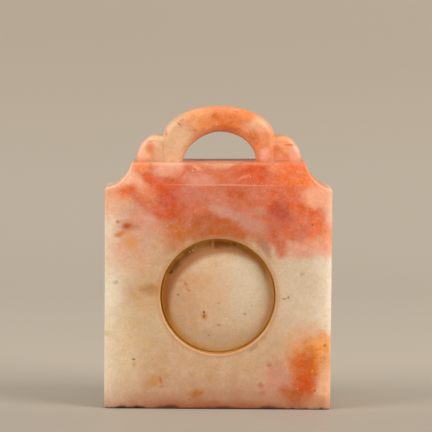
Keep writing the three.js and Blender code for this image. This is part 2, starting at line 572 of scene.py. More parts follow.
    def print_field(self, points: Points) -> Field:
        """Gives the distance to what the print face has cut away. Args and Returns are those of plaque."""
        x, y, z = points.T
        half_u, half_v = self.half_width - self.border, self.half_depth - self.border
        pocket = round_meet(np.abs(x) - half_u, np.abs(y) - half_v, 0.5)
        height = 2 * (half_v - self.fret.gap)
        width = half_u - self.post_width / 2 - 2 * self.fret.gap
        offset = (self.post_width + width) / 2 + self.fret.gap
        strokes = round_meet(np.abs(x) - self.post_width / 2, np.abs(y) - height / 2, self.fret.rounding)
        for side in Side:
            u, v = -side.value * (x - side.value * offset), -side.value * y
            strokes = np.minimum(strokes, self.fret.spiral(u, v, width, height))
        cut = soft_meet(pocket, -strokes, self.stroke_draft)
        return round_meet(cut, z - self.relief, self.relief_round)


@dataclass
class ChildSeal(CarvedStone):
    """The small domed seal that sits in the well."""

    node: str = "child_seal"
    piece: str = "domed_child"
    slot: str = "child_stone"
    body: str = "child"
    radius: float = 9.03
    across: float = 0.015
    height: float = 17.88
    dome_top: float = -5.72
    dome_rise: float = 1.6
    dome_fullness: float = 1.85
    rear: float = 0.5
    border: float = 0.9

    def distance(self, points: Points) -> Field:
        """Gives the distance to the domed seal. Args and Returns are those of the base class."""
        x, y, z = points.T
        x, up = x - self.across, z - self.height
        radius = np.hypot(x, up)
        shoulder = self.dome_top + self.dome_rise
        dome = oval(radius, np.maximum(shoulder - y, 0), self.radius, self.dome_rise, self.dome_fullness)
        stone = round_meet(dome, y - self.rear, 0.25)
        field_radius = self.radius - self.border
        size = math.sqrt(2) * (field_radius - self.fret.gap)
        strokes = self.fret.spiral(x, up, size, size)
        cut = soft_meet(radius - field_radius, -strokes, self.stroke_draft)
        cut = round_meet(cut, self.rear - self.relief - y, self.relief_round)
        stone = round_meet(stone, -cut, self.stroke_edge)
        return stone + 0.015 * ripple(points, 7.0, 8) + 0.006 * ripple(points, 2.0, 9)


class Graph:
    """Adds nodes to one shader tree, so that a pattern reads from top to bottom."""

    def __init__(self, tree: bpy.types.NodeTree) -> None:
        """Keeps the tree that the nodes go into."""
        self.tree = tree

    def node(self, kind: str, inputs: dict[Union[int, str], Input], **settings: object) -> bpy.types.Node:
        """Adds one node.

        Args:
            kind: Blender's name for the type of node.
            inputs: What feeds each input socket: another socket or a plain value.
            **settings: The node's own settings.

        Returns:
            The new node.
        """
        made = self.tree.nodes.new(kind)
        for name, value in settings.items():
            setattr(made, name, value)
        for name, value in inputs.items():
            if isinstance(value, bpy.types.NodeSocket):
                self.tree.links.new(value, made.inputs[name])
            else:
                made.inputs[name].default_value = value
        return made

    def number(self, kind: str, first: Input, second: Input = 0.0, third: Input = 0.0,
               clamp: bool = False) -> Socket:
        """Adds a Math node.

        Args:
            kind: The operation, such as MULTIPLY_ADD.
            first: Its first number.
            second: Its second number.
            third: Its third number.
            clamp: Whether the result stays from 0 to 1.

        Returns:
            The result's socket.
        """
        feeds = {0: first, 1: second, 2: third}
        return self.node("ShaderNodeMath", feeds, operation=kind, use_clamp=clamp).outputs[0]

    def vector(self, kind: str, first: Input, second: Input = (0, 0, 0), **named: Input) -> Socket:
        """Adds a Vector Math node that gives a vector.

        Args:
            kind: The operation, such as ADD.
            first: Its first vector.
            second: Its second vector.
            **named: Other inputs by name, such as Scale.

        Returns:
            The result's socket.
        """
        made = self.node("ShaderNodeVectorMath", {0: first, 1: second, **named}, operation=kind)
        return made.outputs[0]

    def length(self, vector: Socket) -> Socket:
        """Adds a Vector Math node that gives a vector's length."""
        return self.node("ShaderNodeVectorMath", {0: vector}, operation="LENGTH").outputs["Value"]

    def ease(self, value: Input, low: Input, high: Input, to_low: float = 0.0,
             to_high: float = 1.0) -> Socket:
        """Adds a smooth step from one value to another.

        Args:
            value: What is measured.
            low: Where the step starts.
            high: Where the step ends.
            to_low: The result before the step.
            to_high: The result after it.

        Returns:
            The result's socket.
        """
        ends = {"Value": value, "From Min": low, "From Max": high, "To Min": to_low, "To Max": to_high}
        return self.node("ShaderNodeMapRange", ends, interpolation_type="SMOOTHSTEP").outputs[0]

    def noise(self, place: Input, scale: Input, detail: float, roughness: float) -> bpy.types.Node:
        """Adds a Noise Texture.

        Args:
            place: Where it is read.
            scale: Its features to a millimetre.
            detail: How many finer layers it has.
            roughness: How strong the finer layers are.

        Returns:
            The node.
        """
        feeds = {"Vector": place, "Scale": scale, "Detail": detail, "Roughness": roughness}
        return self.node("ShaderNodeTexNoise", feeds)

    def blend(self, share: Input, under: Input, over: Input) -> Socket:
        """Adds a colour Mix node.

        Args:
            share: How much of the second colour shows.
            under: The first colour.
            over: The second colour.

        Returns:
            The mixed colour's socket.
        """
        return self.node("ShaderNodeMix", {0: share, 6: under, 7: over}, data_type="RGBA").outputs[2]


class Effects:
    """Shader node groups that both stones use. Each is built once."""

    def __init__(self) -> None:
        """Builds the groups."""
        self.drift = self.make_drift()
        self.stain = self.make_stain()
        self.specks = self.make_specks()
        self.ring = self.make_ring()

    @staticmethod
    def group(
        name: str, vectors: Sequence[str], numbers: Sequence[str],
        gives: tuple[str, str] = ("Mask", "NodeSocketFloat"),
    ) -> tuple[Graph, dict[str, Socket], Socket]:
        """Starts a node group.

        Args:
            name: The group's name.
            vectors: Names of the inputs that are vectors.
            numbers: Names of the inputs that are numbers.
            gives: Name and socket type of what it puts out.

        Returns:
            The group's graph, its inputs by name, and the socket that its result goes into.
        """
        tree = bpy.data.node_groups.new(name, "ShaderNodeTree")
        for labels, kind in ((vectors, "NodeSocketVector"), (numbers, "NodeSocketFloat")):
            for label in labels:
                tree.interface.new_socket(label, in_out="INPUT", socket_type=kind)
        tree.interface.new_socket(gives[0], in_out="OUTPUT", socket_type=gives[1])
        source, target = tree.nodes.new("NodeGroupInput"), tree.nodes.new("NodeGroupOutput")
        return Graph(tree), {s.name: s for s in source.outputs if s.name}, target.inputs[gives[0]]

    def make_drift(self) -> bpy.types.NodeTree:
        """Builds the group that wanders a place about, as colours wander in stone.

        Returns:
            The group.
        """
        graph, given, result = self.group("stone_drift", ["Place"], ["Scale", "Reach"],
                                          ("Place", "NodeSocketVector"))
        noise = graph.noise(given["Place"], given["Scale"], 3.0, 0.55)
        offset = graph.vector("SUBTRACT", noise.outputs["Color"], (0.5, 0.5, 0.5))
        scaled = graph.vector("SCALE", offset, Scale=given["Reach"])
        graph.tree.links.new(graph.vector("ADD", given["Place"], scaled), result)
        return graph.tree

    def make_stain(self) -> bpy.types.NodeTree:
        """Builds the group that masks one cloudy stain in the stone.

        Returns:
            The group.
        """
        graph, given, result = self.group("stone_stain", ["Place", "Centre", "Reach"],
                                          ["Cloud", "Tilt", "Soft", "Ragged", "Strength"])
        offset = graph.vector("SUBTRACT", given["Place"], given["Centre"])
        turned = graph.node("ShaderNodeVectorRotate", {"Vector": offset, "Angle": given["Tilt"]},
                            rotation_type="Y_AXIS").outputs[0]
        radius = graph.length(graph.vector("DIVIDE", turned, given["Reach"]))
        cloud = graph.number("SUBTRACT", given["Cloud"], 0.5)
        ragged = graph.number("MULTIPLY_ADD", cloud, given["Ragged"], radius)
        inner = graph.number("SUBTRACT", 1.0, given["Soft"])
        outer = graph.number("ADD", 1.0, given["Soft"])
        share = graph.ease(ragged, outer, inner)
        graph.tree.links.new(graph.number("MULTIPLY", share, given["Strength"], clamp=True), result)
        return graph.tree

    def make_specks(self) -> bpy.types.NodeTree:
        """Builds the group that scatters small round specks.

        Returns:
            The group.
        """
        graph, given, result = self.group("stone_specks", ["Place"], ["Scale", "Size", "Share"])
        cells = graph.node("ShaderNodeTexVoronoi", {"Vector": given["Place"], "Scale": given["Scale"]})
        random = graph.node("ShaderNodeSeparateColor", {0: cells.outputs["Color"]}).outputs[0]
        kept = graph.number("LESS_THAN", random, given["Share"])
        outer = graph.number("MULTIPLY", given["Size"], 1.6)
        dot = graph.ease(cells.outputs["Distance"], outer, given["Size"])
        graph.tree.links.new(graph.number("MULTIPLY", dot, kept), result)
        return graph.tree

    def make_ring(self) -> bpy.types.NodeTree:
        """Builds the group that masks a round band, seen along Y.

        Returns:
            The group.
        """
        graph, given, result = self.group("stone_ring", ["Place", "Centre"],
                                          ["From", "To", "Deep", "Strength"])
        offset = graph.vector("SUBTRACT", given["Place"], given["Centre"])
        radius = graph.length(graph.vector("MULTIPLY", offset, (1, 0, 1)))
        band = graph.ease(radius, given["From"], given["To"])
        depth = graph.node("ShaderNodeSeparateXYZ", {0: offset}).outputs["Y"]
        share = graph.number("MULTIPLY", band, graph.ease(depth, given["Deep"], 0.0))
        graph.tree.links.new(graph.number("MULTIPLY", share, given["Strength"], clamp=True), result)
        return graph.tree


@dataclass(frozen=True)
class Ring:
    """A round band of colour by the well, seen along Y, in millimetres."""

    name: str
    x: float
    z: float
    start: float
    full: float
    colour: Colour
    strength: float = 1.0
    y: float = -6.0
    deep: float = 4.0


@dataclass(frozen=True)
class Stain:
    """One patch of colour in the stone, placed in millimetres."""

    name: str
    x: float
    z: float
    across: float
    up: float
    colour: Colour
    strength: float = 0.9
    tilt: float = 0.0
    soft: float = 0.6
    y: float = -6.0
    deep: float = 7.5
    ragged: float = 1.2


@dataclass(frozen=True)
class Spot(Stain):
    """One small mark that lies close under the front."""

    strength: float = 0.85
    deep: float = 2.0


@dataclass(frozen=True)
class Specks:
    """A scatter of small round specks of one colour."""

    scale: float
    size: float
    share: float
    strength: float
    colour: Colour


@dataclass(frozen=True)
class StoneFinish:
    """Waxed, polished soapstone: its colours, how light enters it, and a painted glow by the gap."""

    name: str
    ground: Colour
    mottle: Colour
    stains: tuple[Stain, ...]
    spots: tuple[Stain, ...]
    rings: tuple[Ring, ...]
    # Painted glow: a band of the stone that gives off amber light by the gap.
    gap_glow_band: Ring
    specks: tuple[Specks, ...] = (
        Specks(2.2, 0.16, 0.1, 0.55, (246, 214, 182)),
        Specks(1.3, 0.09, 0.12, 0.45, (150, 84, 44)),
    )
    rubbed: Colour = (246, 214, 182)
    dirt: Colour = (160, 96, 40)
    roughness: float = 0.36
    gloss: float = 0.32
    wax: float = 0.06
    glow: float = 0.6
    glow_depth: float = 0.0018
    # Strength of the painted glow.
    gap_glow_strength: float = 1.5


class StonePaint:
    """Paints one finish into a material, and holds the patterns that steer its colours."""

    def __init__(self, finish: StoneFinish, effects: Effects) -> None:
        """Starts the material with its wandering places and its clouds.

        Args:
            finish: What is painted.
            effects: The node groups that the stones share.
        """
        self.finish, self.effects = finish, effects
        self.material = bpy.data.materials.new(finish.name)
        self.material.use_nodes = True
        self.material.node_tree.nodes.clear()
        self.graph = Graph(self.material.node_tree)
        where = self.graph.node("ShaderNodeTexCoord", {}).outputs["Object"]
        self.place = self.graph.vector("SCALE", where, Scale=1 / MM)
        self.near = self.drifted(self.place, 1.3, 0.26)
        self.far = self.drifted(self.near, 0.3, 1.5)
        self.cloud = self.graph.noise(self.near, 0.5, 4.0, 0.52).outputs["Fac"]

    def paint(self) -> bpy.types.Material:
        """Lays the colours one over the other, and sets how the surface takes light.

        Returns:
            The material.
        """
        finish, graph = self.finish, self.graph
        mottled = graph.ease(self.cloud, 0.42, 0.68, 0.0, 0.7)
        colour = graph.blend(mottled, stone_colour(finish.ground), stone_colour(finish.mottle))
        for stain in finish.stains:
            colour = self.stained(colour, self.far, stain)
        colour = self.weathered(self.speckled(self.grained(colour)))
        for ring in finish.rings:
            colour = self.ringed(colour, self.near, ring)
        for spot in finish.spots:
            colour = self.stained(colour, self.near, spot)
        shader = graph.node("ShaderNodeBsdfPrincipled", {
            "Base Color": colour,
            "Roughness": self.polish(),
            "Normal": self.unevenness(),
            "IOR": 1.56,
            "Subsurface Weight": finish.glow,
            "Subsurface Radius": (1.0, 0.5, 0.28),
            "Subsurface Scale": finish.glow_depth,
            "Specular IOR Level": finish.gloss,
            "Coat Weight": finish.wax,
            "Coat Roughness": 0.2,
            # Painted glow: emission by the gap between the stones.
            "Emission Color": self.painted_gap_glow(),
            "Emission Strength": finish.gap_glow_strength,
        })
        graph.node("ShaderNodeOutputMaterial", {"Surface": shader.outputs[0]})
        return self.material

    def drifted(self, place: Socket, scale: float, reach: float) -> Socket:
        """Moves a place by up to half of reach, with scale wanderings to a millimetre."""
        feeds = {"Place": place, "Scale": scale, "Reach": reach}
        return self.graph.node("ShaderNodeGroup", feeds, node_tree=self.effects.drift).outputs["Place"]

    def stained(self, colour: Socket, place: Socket, stain: Stain) -> Socket:
        """Lays one stain over the colour so far.

        Args:
            colour: The colour so far.
            place: The wandering place.
            stain: The stain.

        Returns:
            The stained colour.
        """
        made = self.graph.node("ShaderNodeGroup", {
            "Place": place, "Cloud": self.cloud, "Centre": (stain.x, stain.y, stain.z),
            "Reach": (stain.across, stain.deep, stain.up), "Tilt": math.radians(stain.tilt),
            "Soft": stain.soft, "Ragged": stain.ragged, "Strength": stain.strength,
        }, node_tree=self.effects.stain, label=stain.name)
        return self.graph.blend(made.outputs["Mask"], colour, stone_colour(stain.colour))

    def ringed(self, colour: Input, place: Socket, ring: Ring) -> Socket:
        """Lays one round band over the colour so far.

        Args:
            colour: The colour so far.
            place: The wandering place.
            ring: The band.

        Returns:
            The banded colour.
        """
        made = self.graph.node("ShaderNodeGroup", {
            "Place": place, "Centre": (ring.x, ring.y, ring.z), "From": ring.start, "To": ring.full,
            "Deep": ring.deep, "Strength": ring.strength,
        }, node_tree=self.effects.ring, label=ring.name)
        return self.graph.blend(made.outputs["Mask"], colour, stone_colour(ring.colour))

    def painted_gap_glow(self) -> Socket:
        """Paints a glow of amber light, given off as emission on each side of the narrow gap where the walls
        close in.

        Returns:
            The colour of the painted glow.
        """
        walls = self.graph.node("ShaderNodeAmbientOcclusion", {"Distance": 1.5 * MM}, samples=8)
        enclosed = self.graph.ease(walls.outputs["AO"], 0.85, 0.25)
        light = self.ringed((0.0, 0.0, 0.0, 1.0), self.place, self.finish.gap_glow_band)
        return self.graph.vector("SCALE", light, Scale=enclosed)

    def grained(self, colour: Socket) -> Socket:
        """Adds the fine grain, wisps and cloudiness that run through all the colours.

        Args:
            colour: The colour so far.

        Returns:
            The colour with its grain.
        """
        graph = self.graph
        grain = graph.noise(self.place, 3.6, 4.0, 0.7).outputs["Fac"]
        pure = graph.node("ShaderNodeSeparateColor", {0: colour}, mode="HSV").outputs[1]
        swing = graph.ease(pure, 0.76, 0.92, 0.05, 0.1)
        light = graph.number("MULTIPLY_ADD", graph.ease(grain, 0.3, 0.7, -1.0, 1.0), swing, 1.0)
        mottled = graph.noise(self.near, 0.9, 4.0, 0.6).outputs["Fac"]
        depth = graph.ease(mottled, 0.3, 0.7, 0.96, 1.04)
        stretched = graph.vector("MULTIPLY", self.near, (0.8, 1.0, 1.1))
        wisp = graph.noise(stretched, 1.1, 6.0, 0.58).outputs["Fac"]
        strength = graph.ease(wisp, 0.3, 0.7, 0.94, 1.06)
        both = graph.number("MULTIPLY", light, depth)
        varied = {"Color": colour, "Saturation": strength, "Value": both}
        return graph.node("ShaderNodeHueSaturation", varied).outputs[0]

    def speckled(self, colour: Socket) -> Socket:
        """Scatters pale glints and brown flecks where the clouds are dense.

        Args:
            colour: The colour so far.

        Returns:
            The speckled colour.
        """
        graph = self.graph
        gathered = graph.ease(self.cloud, 0.5, 0.6)
        for specks in self.finish.specks:
            feeds = {"Place": self.place, "Scale": specks.scale, "Size": specks.size, "Share": specks.share}
            made = graph.node("ShaderNodeGroup", feeds, node_tree=self.effects.specks)
            shown = graph.number("MULTIPLY", made.outputs["Mask"], gathered)
            shown = graph.number("MULTIPLY", shown, specks.strength)
            colour = graph.blend(shown, colour, stone_colour(specks.colour))
        return colour

    def weathered(self, colour: Socket) -> Socket:
        """Pales the rubbed edges and darkens the hollows.

        Args:
            colour: The colour so far.

        Returns:
            The weathered colour.
        """
        graph = self.graph
        edge, hollow = (graph.node("ShaderNodeAttribute", {}, attribute_name=name).outputs["Fac"]
                        for name in ("edge", "hollow"))
        worn = graph.ease(self.cloud, 0.42, 0.58, 0.02, 0.26)
        rubbed = graph.number("MULTIPLY", graph.ease(edge, 0.1, 0.8), worn)
        paled = graph.blend(rubbed, colour, linear(self.finish.rubbed))
        dirty = graph.ease(hollow, 0.1, 0.9, 0.0, 0.35)
        return graph.blend(dirty, paled, linear(self.finish.dirt))

    def polish(self) -> Socket:
        """Varies the roughness from rubbed to waxed."""
        smear = self.graph.noise(self.place, 0.35, 4.0, 0.6).outputs["Fac"]
        return self.graph.ease(smear, 0.3, 0.7, self.finish.roughness - 0.05, self.finish.roughness + 0.09)

    def unevenness(self) -> Socket:
        """Gives the normal of a surface that was polished by hand.

        Returns:
            The normal.
        """
        waves = self.graph.noise(self.place, 0.9, 3.0, 0.5).outputs["Fac"]
        pores = self.graph.noise(self.place, 6.0, 3.0, 0.6).outputs["Fac"]
        height = self.graph.number("MULTIPLY_ADD", pores, 0.12, waves)
        bump = {"Height": height, "Strength": 0.12, "Distance": 0.0002}
        return self.graph.node("ShaderNodeBump", bump).outputs[0]


BLOCK_STAINS = (
    Stain("left_cream", -19.2, 17.0, 4.7, 26.0, (237, 216, 188), 1.0, soft=0.8, deep=30.0, ragged=0.4),
    Stain("right_cream", 19.6, 20.0, 6.0, 12.0, (240, 219, 190), 1.0, soft=0.8, deep=30.0, ragged=0.4),
    Stain("right_grey_cream", 12.4, 19.5, 4.2, 6.5, (216, 188, 156), soft=0.7, deep=12.0, ragged=0.5),
    Stain("left_pink_cream", -14.0, 25.0, 3.4, 3.4, (224, 166, 126), 0.75, soft=0.8),
    Stain("left_yellow_cream", -15.0, 10.0, 2.6, 6.0, (222, 189, 145), 0.6, soft=0.8),
    Stain("left_tan", -12.0, 15.0, 2.6, 5.0, (212, 173, 125), 0.6, soft=0.8),
    Stain("left_grey_tan", -9.4, 13.4, 2.2, 2.6, (209, 176, 136), 0.8, soft=0.8),
    # Pink tone and painted shade: the block gets darker towards the bottom.
    Stain("lower_pink_and_shade", 2.0, 1.2, 18.0, 3.4, (190, 138, 104), 0.75, soft=0.8, deep=20.0, ragged=0.5),
    Stain("coral_band", 1.0, 34.6, 15.0, 7.4, (211, 116, 79), 1.0, soft=0.4, deep=40.0, ragged=0.9),
    Stain("coral_band_right", 12.0, 32.6, 6.0, 6.6, (224, 114, 70), soft=0.45, deep=40.0, ragged=0.9),
    Stain("brown_band", -1.0, 28.4, 7.0, 2.3, (189, 98, 42), tilt=-4.0, deep=12.0),
    Stain("orange_low_left", -7.2, 28.2, 2.4, 1.9, (205, 112, 56), 0.85),
    Stain("tan_by_rim_left", -7.0, 26.0, 1.8, 1.2, (197, 120, 60), 0.8, soft=0.7),
    Stain("pink_left", -12.0, 29.6, 3.0, 2.5, (220, 153, 123), 0.95, soft=0.7),
    Stain("pink_left_low", -11.2, 26.8, 2.6, 2.0, (213, 160, 127), 0.7, soft=0.8),
    Stain("red_left", -7.6, 33.4, 2.6, 2.8, (209, 90, 53), 1.0, soft=0.65, deep=14.0),
    Stain("red_left_low", -8.2, 31.5, 3.0, 1.2, (206, 96, 54), tilt=-6.0),
    Stain("red_left_high", -8.6, 35.5, 2.4, 0.9, (216, 98, 54), 0.95, tilt=-20.0),
    Stain("red_streak_left", -11.3, 37.0, 0.6, 2.3, (221, 96, 42), 0.95, tilt=40.0, soft=0.7, ragged=0.7),
    Stain("orange_corner_left", -12.3, 38.8, 0.9, 1.4, (236, 138, 82), tilt=20.0),
    Stain("shoulder_halo", -15.2, 34.3, 2.9, 1.9, (236, 147, 95), soft=0.7),
    Stain("shoulder_orange", -14.5, 34.9, 1.3, 1.0, (228, 108, 48), 1.0, tilt=-12.0, soft=0.7),
    Stain("shoulder_orange_tail", -13.2, 34.1, 0.9, 0.4, (222, 112, 58), tilt=-40.0, soft=0.8),
    Stain("shoulder_streak", -11.6, 33.0, 3.0, 0.8, (218, 119, 77), 0.8, tilt=-32.0),
    Stain("pale_band_left", -12.8, 36.3, 0.9, 2.8, (238, 163, 120), tilt=36.0),
    Stain("pale_band_low", -10.8, 34.3, 1.3, 1.1, (230, 140, 100), 0.7, tilt=-30.0),
    Stain("pink_cream_left_shoulder", -15.2, 37.0, 1.6, 1.7, (238, 182, 148)),
    Stain("pink_high_left", -8.2, 38.5, 2.4, 1.0, (232, 161, 130), 0.95, soft=0.5, deep=12.0),
    Stain("pink_high_left_low", -6.6, 37.5, 1.8, 0.7, (227, 142, 106), 0.7),
    Stain("pink_high_middle", -2.8, 36.4, 2.3, 1.0, (221, 142, 114)),
    Stain("peach_top_middle", 0.4, 38.8, 3.0, 0.6, (224, 158, 118), soft=0.7),
    Stain("orange_vein_top_left", -3.6, 38.3, 1.6, 0.25, (218, 112, 60), tilt=-25.0, soft=0.8),
    Stain("orange_vein_top_right", 1.9, 38.1, 1.5, 0.3, (214, 106, 54), tilt=30.0, soft=0.8),
    Stain("orange_dot_middle", 0.2, 37.0, 1.0, 0.6, (216, 112, 66), 0.85),
    Stain("lilac_left", -4.2, 34.0, 2.3, 1.6, (211, 125, 97), 0.85, soft=0.7),
    Stain("red_high_right", 5.5, 37.7, 2.8, 1.6, (213, 90, 40), 1.0, tilt=8.0, deep=14.0),
    Stain("red_high_right_tail", 7.6, 36.6, 2.4, 0.9, (219, 99, 56), tilt=-8.0),
    Stain("orange_high_right", 11.8, 37.5, 2.8, 2.0, (233, 122, 70), 0.95, deep=14.0),
    Stain("pale_fleck_high_right", 8.8, 38.3, 0.9, 0.6, (234, 142, 96), 0.85),
    Stain("red_middle", 2.9, 34.5, 1.5, 1.1, (204, 98, 58)),
    Stain("red_middle_low", -0.9, 30.2, 1.6, 0.9, (194, 98, 54), 0.7, tilt=10.0),
    Stain("pink_fleck_middle", 0.1, 33.6, 1.3, 1.5, (214, 128, 96), 0.85),
    Stain("lilac_right", 6.4, 34.2, 1.5, 1.1, (214, 122, 93), 0.85),
    Stain("coral_middle_right", 9.0, 34.6, 1.7, 1.2, (219, 110, 70), 0.8),
    Stain("lilac_vein", 1.0, 31.4, 2.3, 0.9, (209, 143, 117), 0.95, tilt=-16.0, soft=0.5),
    Stain("lilac_vein_middle", 4.4, 30.0, 2.4, 1.0, (203, 138, 113), 0.95, tilt=-22.0, soft=0.5),
    Stain("lilac_vein_low", 6.8, 28.2, 1.2, 1.5, (204, 132, 101), 0.85, tilt=40.0),
    Stain("grey_by_rim", 7.5, 25.7, 0.75, 1.9, (180, 120, 87), tilt=28.0),
    Stain("red_right", 9.8, 31.0, 2.1, 2.2, (196, 84, 52), 1.0, soft=0.65, deep=12.0),
    Stain("red_right_low", 8.9, 28.4, 1.1, 2.0, (202, 96, 61)),
    Stain("coral_low_right", 12.8, 28.2, 2.4, 1.6, (212, 112, 78), 0.8),
    Stain("orange_tongue", 13.4, 31.7, 2.4, 0.8, (225, 107, 58), 0.95, tilt=-24.0, soft=0.5),
    Stain("orange_edge_right", 15.8, 28.8, 1.6, 1.8, (232, 118, 65), 0.95),
    Stain("orange_shoulder_right", 13.6, 36.2, 1.6, 1.0, (237, 128, 70), 0.85, tilt=-20.0),
    Stain("peach_right", 15.5, 34.0, 2.0, 1.9, (244, 170, 129), 1.0, tilt=30.0, soft=0.5),
    Stain("peach_edge_right", 18.4, 32.2, 1.5, 4.4, (240, 184, 153), 0.95, deep=20.0, ragged=0.4),
    Stain("orange_edge_far_right", 17.7, 27.9, 1.2, 1.6, (236, 144, 96), 0.85, soft=0.7, deep=8.0),
    Stain("pink_edge_far_right", 17.5, 25.3, 1.6, 1.1, (233, 172, 138), 0.8, soft=0.7, deep=8.0),
    Stain("lilac_high_right", 6.0, 31.5, 1.3, 0.8, (203, 138, 108), 0.7, soft=0.7),
    Stain("lilac_middle_right", 6.2, 29.3, 2.0, 1.0, (205, 136, 108), 0.7, soft=0.7),
    Stain("left_edge_pink", -17.8, 32.6, 1.7, 2.4, (237, 178, 142), 0.8, soft=0.8, deep=6.0),
    Stain("orange_cove_right", 15.0, 36.7, 1.8, 0.9, (238, 134, 78), 0.85, tilt=-30.0, soft=0.7, deep=14.0),
    Stain("pink_right", 13.0, 25.1, 2.6, 1.2, (223, 156, 127), soft=0.7),
    Stain("orange_tail_right", 9.9, 25.8, 0.9, 1.7, (206, 112, 74)),
    Stain("peach_fade_right", 15.8, 26.2, 2.4, 1.2, (237, 158, 120), 0.8, soft=0.7),
    Stain("ochre_left_wide", -11.6, 18.4, 2.8, 2.0, (204, 156, 107), 0.7, soft=0.8),
    Stain("ochre_left", -10.5, 18.9, 1.3, 0.9, (188, 132, 80), soft=0.8),
    Stain("orange_halo", 14.8, 7.6, 3.6, 4.6, (227, 145, 76), 1.0, deep=12.0, ragged=0.8),
    Stain("orange_halo_low", 14.0, 4.2, 2.4, 3.4, (214, 108, 36), deep=12.0, ragged=0.8),
    Stain("pink_low_right", 9.8, 4.4, 2.4, 3.2, (205, 138, 108), 0.85, soft=0.7),
    Stain("orange_low_right_edge", 16.7, 10.6, 1.2, 1.8, (240, 158, 86)),
    Stain("red_low_right", 13.6, 7.4, 1.7, 1.8, (208, 97, 14), 1.0, soft=0.8),
    Stain("red_low_right_stem", 14.2, 5.7, 1.0, 1.5, (209, 94, 8)),
    Stain("deep_red_low_right", 14.0, 3.8, 1.7, 1.5, (203, 80, 0), 1.0, soft=0.8),
    Stain("red_at_base", 12.4, 1.7, 1.2, 1.4, (182, 76, 0), 0.95, tilt=-25.0),
    Stain("orange_foot_low_right", 11.4, 2.4, 1.4, 1.4, (188, 90, 30), 0.85, soft=0.8, deep=6.0),
    Stain("peach_corner_low_right", 17.2, 3.8, 1.3, 3.0, (233, 176, 134), 0.95, deep=6.0),
    Stain("pink_corner_base", 16.2, 1.4, 1.3, 0.9, (216, 150, 110), 0.85, deep=6.0),
    Stain("handle_orange", 4.0, 44.6, 10.0, 5.4, (231, 144, 92), 1.0, soft=0.35, y=0.0, deep=12.0,
          ragged=0.6),
    Stain("handle_cream_left", -7.6, 42.6, 3.4, 4.2, (228, 178, 135), 1.0, soft=0.5, y=0.0, deep=12.0),
    Stain("handle_cream_right", 6.1, 45.1, 1.8, 1.3, (237, 175, 132), 0.85, y=0.0, deep=12.0),
    Stain("handle_amber", -3.4, 46.1, 2.0, 1.5, (234, 160, 100), y=0.0, deep=12.0),
    Stain("handle_crown", 0.8, 45.7, 2.9, 1.4, (225, 122, 58), 0.95, y=0.0, deep=12.0),
    Stain("handle_crown_right", 4.7, 46.5, 1.3, 0.8, (232, 130, 64), 0.8, y=0.0, deep=12.0),
    Stain("handle_inner_right", 5.5, 43.2, 0.7, 1.2, (217, 116, 60), tilt=35.0, y=0.0, deep=12.0),
    Stain("left_ear_cream", -11.4, 42.2, 2.1, 1.5, (239, 184, 144), soft=0.5, y=0.0, deep=12.0),
    Stain("left_ear_orange", -10.8, 40.8, 0.7, 1.2, (229, 148, 94), soft=0.5, y=-3.4, deep=5.0),
    Stain("left_ear_peach", -11.9, 40.2, 1.0, 0.8, (244, 184, 145), 0.85, y=-3.4, deep=5.0),
    Stain("right_ear_peach", 10.7, 41.8, 2.2, 1.3, (241, 166, 118), soft=0.5, y=-3.4, deep=5.0),
    Stain("right_ear_orange", 9.5, 40.4, 1.2, 0.8, (230, 136, 84), 0.85, y=-3.4, deep=5.0),
    Stain("right_ear_pink", 12.2, 40.6, 0.9, 1.4, (238, 172, 140), soft=0.5, y=-3.4, deep=5.0),
    Stain("pink_foot_right", 7.2, 40.2, 0.8, 0.9, (238, 166, 136), y=-3.4, deep=5.0),
)

